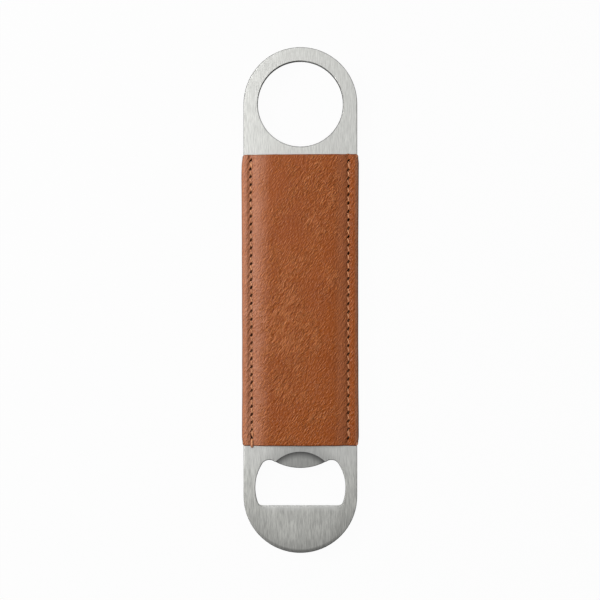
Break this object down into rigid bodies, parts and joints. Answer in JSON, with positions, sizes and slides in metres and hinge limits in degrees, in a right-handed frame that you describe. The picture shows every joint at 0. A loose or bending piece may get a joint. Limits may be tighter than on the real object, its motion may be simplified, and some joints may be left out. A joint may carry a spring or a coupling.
{
  "type": "bottle opener",
  "caption": "Flat steel bar-blade opener with a finger ring, a crown-cap mouth and a leather sleeve sewn round its waist.",
  "frame": {"origin": "centre of the footprint, at the height of the surface that the sleeve's back face rests on", "axes": "+X to the right of the front face, +Y along the blade towards the finger ring, +Z out of the front face"},
  "size_m": [0.0412, 0.178, 0.0048],
  "materials": {
    "steel": "brushed along its length",
    "leather": "waxed full-grain, burnished edges",
    "thread": "waxed twisted sewing thread"
  },
  "bodies": {
    "root": {"blade": "steel", "front_leather_panel": "leather", "back_leather_panel": "leather", "left_needle_thread": "thread", "left_bobbin_thread": "thread", "right_needle_thread": "thread", "right_bobbin_thread": "thread"}
  },
  "joints": []
}
